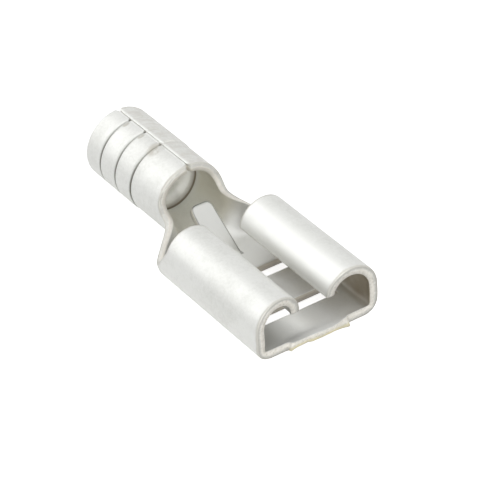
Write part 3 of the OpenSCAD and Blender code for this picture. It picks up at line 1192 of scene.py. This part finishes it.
    def fold_blank(self, piece: bpy.types.Object) -> None:
        """Moves the grid's points to their place on the folded strip.

        Args:
            piece: The blank, in rows and columns.
        """
        points = read_points(piece)
        xs = np.array([x for x, _ in self.rows()])
        x, u = self.place(xs[points[:, 0].astype(int)], np.round(points[:, 1]).astype(int))
        write_points(piece, self.strip.fold(x, u))
        add_layer(piece, "strip", np.stack([x, u, np.zeros_like(x)], axis=1))

    def raise_tongue(self, piece: bpy.types.Object) -> None:
        """Extrudes the tongue from the front edge of its window.

        Args:
            piece: The folded strip.
        """
        t = self.tongue
        steps = []
        gone = 0.0
        for along, up in t.path(self.strip.sheet):
            step = math.hypot(along, up)
            steps.append(((along, 0.0, up), float(t.taper(gone + step) / t.taper(gone))))
            gone += step
        self.draw_out(piece, -t.root, t.root_half, steps)
        self.round_tongue(piece)

    def draw_out(
        self,
        piece: bpy.types.Object,
        x: float,
        half: float,
        steps: Sequence[tuple[tuple[float, float, float], float]],
    ) -> None:
        """Extrudes an edge of the floor in steps.

        Args:
            piece: The folded strip.
            x: The edge's place along the strip.
            half: Half of the edge's width.
            steps: For each step, the move and how much narrower the edge gets.
        """
        select_edges(
            piece,
            lambda p: abs(p.x - x) < NEAR and abs(p.y) < half + NEAR and p.z < self.floor_top,
        )
        for move, share in steps:
            bpy.ops.mesh.extrude_region_move(TRANSFORM_OT_translate={"value": move})
            middle = (0.0, 0.0, 0.0)
            bpy.ops.transform.resize(value=(1.0, share, 1.0), center_override=middle)
        bpy.ops.mesh.select_all(action="DESELECT")
        bpy.ops.object.mode_set(mode="OBJECT")

    def round_tongue(self, piece: bpy.types.Object) -> None:
        """Rounds the two corners of the tongue's free end.

        Args:
            piece: The strip with its raised tongue.
        """
        t = self.tongue
        points = read_points(piece)
        rise = math.radians(t.rise)
        slope = np.array([-math.cos(rise), 0.0, math.sin(rise)])
        window = t.root_half * t.taper(-t.root - points[:, 0])
        from_root = -t.root - points[:, 0]
        raised = (from_root > t.end_margin) & (from_root < t.length - t.end_margin)
        raised &= np.abs(points[:, 1]) < window + t.clearance / 2.0
        raised &= points[:, 2] < self.tongue_top
        reach = points @ slope
        left = 1.0 - np.clip((reach[raised].max() - reach) / (2.0 * t.corner), 0.0, 1.0)
        past = np.clip((np.abs(points[:, 1]) - t.half_width + t.corner) / t.corner, 0.0, 1.0)
        pull = t.corner * (1.0 - np.sqrt(1.0 - past**2)) * left
        points -= np.where(raised, pull, 0.0)[:, None] * slope
        write_points(piece, points)

    def pull_stub(self, piece: bpy.types.Object) -> None:
        """Extrudes the carrier stub from the floor's front edge.

        Args:
            piece: The folded strip.
        """
        f = self.floor
        length = self.strip.stub_length - f.stub_skew / 2.0
        share = (1.0 - f.stub_taper / f.stub_half) ** (1.0 / f.stub_steps)
        steps = [((length / f.stub_steps, 0.0, 0.0), share)] * f.stub_steps
        self.draw_out(piece, 0.0, f.stub_half, steps)

    def draw_front(self, points: np.ndarray, sides: np.ndarray, flat: np.ndarray) -> None:
        """Gives the front edge its burr: the outer lip is drawn forward and the inner one swells.

        Args:
            points: The thick strip's points, which are moved.
            sides: The skin that each point lies on.
            flat: The points' places on the flat strip.
        """
        f = self.floor
        half = len(points) // 2
        through = points[:half] - points[half:]
        through /= np.linalg.norm(through, axis=1)[:, None]
        inward = np.concatenate([through, -through])
        from_front = self.strip.wing_front(np.abs(flat[:, 1])) - flat[:, 0]
        swell = f.lip_swell * eased(1.0 - from_front / f.lip_length) * (sides == Skin.INNER.value)
        points += inward * swell[:, None]
        at_front = (from_front < f.front_tolerance) & (points[:, 0] < f.front_tolerance)
        lip = at_front & (sides == Skin.OUTER.value)
        points[:, 0] += f.front_burr * lip

    def break_stub(self, points: np.ndarray) -> None:
        """Skews the stub's break and gives its underside two burrs and a step, with a rough edge.

        Args:
            points: The thick strip's points, which are moved.
        """
        f, s = self.floor, self.strip
        stub = points[:, 0] > f.front_burr + f.front_tolerance
        middle = s.stub_length - f.stub_skew / 2.0
        end_half = f.stub_half - f.stub_taper
        height = np.clip(points[stub, 2] / s.sheet, 0.0, 1.0)
        widen = f.stub_half / end_half - 1.0
        points[stub, 1] *= 1.0 + widen * (1.0 - height) * points[stub, 0] / middle
        y = points[stub, 1]
        reach = middle + f.stub_skew * (y / end_half) / 2.0
        torn = sum(share * np.sin(rate * y + phase) for share, rate, phase in f.tear_waves)
        foot = f.stub_foot + f.stub_step * eased((y - f.step_span[0]) / f.step_span[1])
        past = np.clip((y - f.right_start) / (f.stub_half - f.right_start), 0.0, 1.0)
        foot += f.right_burr * past**2
        foot += f.left_burr * eased((-y - f.left_span[0]) / f.left_span[1])
        reach *= 1.0 - f.right_slope * eased((y - f.slope_span[0]) / f.slope_span[1])
        reach = foot + (reach - foot) * height + f.stub_tear * torn
        points[stub, 0] *= np.minimum(reach, s.stub_length - f.end_margin) / middle

    def thicken(self, piece: bpy.types.Object) -> None:
        """Gives the strip its thickness and records which skin each point lies on.

        Args:
            piece: The folded strip.
        """
        recalculate(piece)
        middle = len(piece.data.vertices)
        apply_modifier(
            piece,
            "SOLIDIFY",
            thickness=self.strip.sheet,
            offset=0.0,
            use_even_offset=True,
            material_offset_rim=Slot.CUT.value,
            edge_crease_inner=self.inner_crease,
            edge_crease_outer=self.outer_crease,
        )
        points = read_points(piece)
        first_is_inner = points[:middle, 2].min() > points[middle:, 2].min()
        first, second = (Skin.INNER, Skin.OUTER) if first_is_inner else (Skin.OUTER, Skin.INNER)
        is_first = np.arange(len(points)) < middle
        add_layer(piece, "through", np.where(is_first, float(first.value), float(second.value)))

    def press(self, piece: bpy.types.Object) -> None:
        """Presses the grooves and the bead into the barrel, and the dimple into the bridge.

        Args:
            piece: The thick strip.
        """
        s, f = self.strip, self.floor
        points = read_points(piece)
        sides = np.round(read_layer(piece, "through", 1)[:, 0])
        x = points[:, 0]
        barrel = x <= s.mouth_x + SAME
        out_y, out_z = points[:, 1], points[:, 2] - s.barrel_z
        radius = np.maximum(np.hypot(out_y, out_z), SAME)
        outer = barrel & (sides == Skin.OUTER.value)
        inner = barrel & (sides == Skin.INNER.value)
        shift = np.where(outer, self.barrel.outer_shift(x, s.mouth_x, points[:, 1]), 0.0)
        shift = np.where(inner, -self.barrel.inner_shift(x, s.mouth_x), shift)
        points[:, 1] += shift * out_y / radius
        points[:, 2] += shift * out_z / radius
        self.coin_corners(points, sides)
        ball = (f.dimple_radius**2 + f.dimple_height**2) / (2.0 * f.dimple_height)
        away = np.hypot(x - f.dimple_x(), points[:, 1])
        cap = np.sqrt(np.maximum(ball**2 - away**2, 0.0)) - (ball - f.dimple_height)
        in_dimple = (away < f.dimple_radius) & (points[:, 2] < self.floor_top)
        points[:, 2] += np.where(in_dimple, cap, 0.0)
        self.draw_front(points, sides, read_layer(piece, "strip", 3))
        self.break_stub(points)
        write_points(piece, points)

    def coin_corners(self, points: np.ndarray, sides: np.ndarray) -> None:
        """Sharpens the corners inside the receptacle, where the strip was coined over the punch.

        Args:
            points: The thick strip's points, which are moved.
            sides: The skin that each point lies on.
        """
        s = self.strip
        out = np.abs(points[:, 1]) - s.floor_half
        down = s.corner_radius - points[:, 2]
        radius = np.maximum(np.hypot(out, down), SAME)
        inner_radius = s.corner_radius - s.sheet
        on_corner = (sides == Skin.INNER.value) & (out > 0.0) & (down > 0.0)
        on_corner &= np.abs(radius - inner_radius) < self.coin_tolerance
        on_corner &= points[:, 0] > s.floor_rear - self.coin_reach
        power = self.coin_sharpness
        square = np.abs(out / radius) ** power + np.abs(down / radius) ** power
        push = inner_radius * (square ** (-1.0 / power) - 1.0) * s.opening(points[:, 0])
        push = np.where(on_corner, push, 0.0)
        points[:, 1] += np.sign(points[:, 1]) * push * out / radius
        points[:, 2] -= push * down / radius

    def settle(self, piece: bpy.types.Object) -> None:
        """Scales the piece to metres, smooths its shading and stands it in for the CAD node.

        Args:
            piece: The finished strip, in millimetres.
        """
        activate(piece)
        piece.scale = (MM, MM, MM)
        bpy.ops.object.transform_apply(location=False, rotation=False, scale=True)
        bpy.ops.object.shade_smooth()
        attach(piece, "root")
        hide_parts(NODE)


# -----------------------------------------------------------------------------
# Mesh helpers
# -----------------------------------------------------------------------------


def fill_gaps(stops: Iterable[float], widest: float, least: float) -> list[float]:
    """Adds stops so that no gap is too wide, and drops stops that lie too close.

    Args:
        stops: The places that are wanted.
        widest: The widest gap that may stay.
        least: The least gap between two stops.

    Returns:
        The places in order.
    """
    wanted = sorted(stops)
    kept = [wanted[0]]
    for stop in wanted[1:-1]:
        if stop - kept[-1] >= least and wanted[-1] - stop >= least:
            kept.append(stop)
    kept.append(wanted[-1])
    filled = [kept[0]]
    for start, stop in zip(kept, kept[1:]):
        parts = max(1, math.ceil((stop - start) / widest))
        filled += [start + (stop - start) * i / parts for i in range(1, parts + 1)]
    return filled


def activate(piece: bpy.types.Object) -> None:
    """Selects one object alone and makes it the active one.

    Args:
        piece: The object.
    """
    if bpy.context.object and bpy.context.object.mode != "OBJECT":
        bpy.ops.object.mode_set(mode="OBJECT")
    bpy.ops.object.select_all(action="DESELECT")
    piece.select_set(True)
    bpy.context.view_layer.objects.active = piece


def read_points(piece: bpy.types.Object) -> np.ndarray:
    """Reads the mesh's points.

    Args:
        piece: The object.

    Returns:
        The points, one row each.
    """
    flat = np.empty(len(piece.data.vertices) * 3)
    piece.data.vertices.foreach_get("co", flat)
    return flat.reshape(-1, 3)


def write_points(piece: bpy.types.Object, points: np.ndarray) -> None:
    """Moves the mesh's points."""
    piece.data.vertices.foreach_set("co", points.ravel())
    piece.data.update()


def add_layer(piece: bpy.types.Object, name: str, values: np.ndarray) -> None:
    """Stores a number or a vector on each point of the mesh.

    Args:
        piece: The object.
        name: The attribute's name.
        values: One number, or one row of three, to a point.
    """
    kind, key = ("FLOAT", "value") if values.ndim == 1 else ("FLOAT_VECTOR", "vector")
    layer = piece.data.attributes.new(name, kind, "POINT")
    layer.data.foreach_set(key, values.ravel())


def read_layer(piece: bpy.types.Object, name: str, width: int) -> np.ndarray:
    """Reads a stored attribute.

    Args:
        piece: The object.
        name: The attribute's name.
        width: 1 for numbers, 3 for vectors.

    Returns:
        The values, one row to a point.
    """
    layer = piece.data.attributes[name]
    values = np.empty(len(layer.data) * width)
    layer.data.foreach_get("value" if width == 1 else "vector", values)
    return values.reshape(-1, width)


def apply_modifier(piece: bpy.types.Object, kind: str, **settings: Any) -> None:
    """Adds a modifier and applies it.

    Args:
        piece: The object.
        kind: The modifier's type.
        **settings: Its properties.
    """
    activate(piece)
    modifier = piece.modifiers.new(kind.lower(), kind)
    for key, value in settings.items():
        setattr(modifier, key, value)
    bpy.ops.object.modifier_apply(modifier=modifier.name)


def deselect_mesh(piece: bpy.types.Object, mode: str) -> None:
    """Clears the mesh's selection and sets the kind of parts that get selected next.

    Args:
        piece: The object, left in object mode.
        mode: VERT, EDGE or FACE.
    """
    activate(piece)
    bpy.ops.object.mode_set(mode="EDIT")
    bpy.ops.mesh.select_mode(type=mode)
    bpy.ops.mesh.select_all(action="DESELECT")
    bpy.ops.object.mode_set(mode="OBJECT")


def delete_faces(piece: bpy.types.Object, waste: Callable[[Vector], bool]) -> None:
    """Deletes faces chosen by their centre, with the points that nothing else uses.

    Args:
        piece: The object.
        waste: Says whether a face goes.
    """
    deselect_mesh(piece, "FACE")
    for face in piece.data.polygons:
        face.select = waste(face.center)
    bpy.ops.object.mode_set(mode="EDIT")
    bpy.ops.mesh.delete(type="FACE")
    bpy.ops.object.mode_set(mode="OBJECT")


def select_edges(piece: bpy.types.Object, wanted: Callable[[Vector], bool]) -> None:
    """Selects edges whose two ends both pass, and leaves the object in edit mode.

    Args:
        piece: The object.
        wanted: Says whether an end counts.
    """
    deselect_mesh(piece, "EDGE")
    mesh = piece.data
    passed = [wanted(point.co) for point in mesh.vertices]
    for edge in mesh.edges:
        edge.select = all(passed[i] for i in edge.vertices)
    bpy.ops.object.mode_set(mode="EDIT")


def recalculate(piece: bpy.types.Object) -> None:
    """Makes all the faces of a sheet point the same way.

    Args:
        piece: The sheet, not yet thick.
    """
    activate(piece)
    bpy.ops.object.mode_set(mode="EDIT")
    bpy.ops.mesh.select_all(action="SELECT")
    bpy.ops.mesh.normals_make_consistent(inside=False)
    bpy.ops.object.mode_set(mode="OBJECT")


# -----------------------------------------------------------------------------
# Studio
# -----------------------------------------------------------------------------


@dataclass(frozen=True)
class Lamp:
    """One soft lamp. Its place and size are in metres, and its power is in watts."""

    name: str
    place: tuple[float, float, float]
    width: float
    height: float
    power: float

    def add(self, target: Vector) -> None:
        """Hangs the lamp.

        Args:
            target: The point that it is turned to.
        """
        data = bpy.data.lights.new(self.name, "AREA")
        data.shape = "RECTANGLE"
        data.size, data.size_y = self.width, self.height
        data.energy = self.power
        lamp = bpy.data.objects.new(self.name, data)
        bpy.context.scene.collection.objects.link(lamp)
        lamp.location = self.place
        lamp.rotation_euler = (target - lamp.location).to_track_quat("-Z", "Y").to_euler()


@dataclass
class Studio:
    """White floor, soft lamps and the camera."""

    azimuth: float = 34.784
    elevation: float = 35.726
    roll: float = -0.862
    distance: float = 131.857 * MM
    target: tuple[float, float, float] = (-9.0 * MM, 0.0, 1.5 * MM)
    sensor: float = 36.0
    lens: float = 189.09
    shift: Pair = (0.05406, -0.02446)
    clip: Span = (0.01, 10.0)
    floor_size: float = 1.2
    floor_gap: float = 0.01 * MM
    floor_colour: Colour = colour(0.9, 0.9, 0.9)
    floor_glow: float = 0.80
    floor_gleam: float = 0.42
    white: Colour = colour(1.0, 1.0, 1.0)
    world_strength: float = 0.30
    lamps: tuple[Lamp, ...] = (
        Lamp("key", (-0.276, -0.19, 0.23), 0.40, 0.44, 0.42),
        Lamp("top", (0.0, 0.0, 0.42), 0.25, 0.25, 0.21),
        Lamp("right", (0.10, 0.30, 0.28), 0.25, 0.25, 0.10),
        Lamp("front", (0.37, -0.06, 0.08), 0.14, 0.12, 0.42),
    )

    def build(self) -> None:
        """Builds the whole studio."""
        self.add_camera()
        self.add_floor()
        self.light_world()
        for lamp in self.lamps:
            lamp.add(Vector(self.target))
        bpy.context.scene.view_settings.view_transform = "Standard"

    def add_camera(self) -> None:
        """Adds the camera at its distance and angle from the target."""
        turn, tilt, lean = (math.radians(a) for a in (self.azimuth, self.elevation, self.roll))
        level = math.cos(tilt)
        out = Vector((level * math.cos(turn), -level * math.sin(turn), math.sin(tilt)))
        flat = (-out).cross(Vector((0.0, 0.0, 1.0))).normalized()
        rise = flat.cross(-out)
        right = math.cos(lean) * flat + math.sin(lean) * rise
        up = -math.sin(lean) * flat + math.cos(lean) * rise
        data = bpy.data.cameras.new("camera")
        data.sensor_width = self.sensor
        data.lens = self.lens
        data.shift_x, data.shift_y = self.shift
        data.clip_start, data.clip_end = self.clip
        camera = bpy.data.objects.new("camera", data)
        bpy.context.scene.collection.objects.link(camera)
        place = Matrix.Translation(Vector(self.target) + self.distance * out)
        camera.matrix_world = place @ Matrix((right, up, out)).transposed().to_4x4()
        bpy.context.scene.camera = camera

    def add_floor(self) -> None:
        """Adds the white floor just under the terminal."""
        low = CAD_BOX[0][2] - self.floor_gap
        bpy.ops.mesh.primitive_plane_add(size=self.floor_size, location=(0.0, 0.0, low))
        floor = bpy.context.object
        floor.name = "studio_floor"
        paint = Paint("studio_floor")
        straight, reflected = self.seen(paint)
        cloth = paint.raw("ShaderNodeBsdfDiffuse", {}, {"Color": self.floor_colour}).outputs[0]
        strength = self.floor_glow * straight + self.floor_gleam * reflected
        glow = paint.raw("ShaderNodeEmission", {}, {"Color": self.white, "Strength": strength})
        both = paint.raw("ShaderNodeAddShader", {}, {0: cloth, 1: glow.outputs[0]}).outputs[0]
        floor.data.materials.append(paint.finish(both))

    def light_world(self) -> None:
        """Lights the world evenly, with a background that looks white."""
        world = bpy.data.worlds.new("studio")
        bpy.context.scene.world = world
        world.use_nodes = True
        paint = Paint("studio_world", world.node_tree)
        straight, reflected = self.seen(paint)
        strength = self.world_strength + (1.0 - self.world_strength) * (straight + reflected)
        sky = paint.raw("ShaderNodeBackground", {}, {"Color": self.white, "Strength": strength})
        paint.raw("ShaderNodeOutputWorld", {}, {"Surface": sky.outputs[0]})

    def seen(self, paint: Paint) -> tuple[Value, Value]:
        """Tells the rays that show a background from those that only light things.

        Args:
            paint: The material builder that asks.

        Returns:
            1 for what the camera sees straight, and 1 for what is seen reflected or through glass.
        """
        path = paint.raw("ShaderNodeLightPath", {}, {})
        kinds = ("Is Camera Ray", "Is Glossy Ray", "Is Transmission Ray")
        straight, glossy, through = (Value(paint, path.outputs[kind]) for kind in kinds)
        return straight, (glossy + through).clamp()


def main() -> None:
    """Builds the terminal and its studio."""
    logging.basicConfig(level=logging.INFO, format="%(message)s")
    low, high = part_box(NODE)
    terminal = TerminalPiece(Strip(low, high), Floor(), Tongue(), Barrel())
    piece = terminal.build([TinPlate().make(terminal), ShearedEdge().make()])
    log.info("%s: %d faces", piece.name, len(piece.data.polygons))
    Studio().build()


if __name__ == "__main__":
    main()
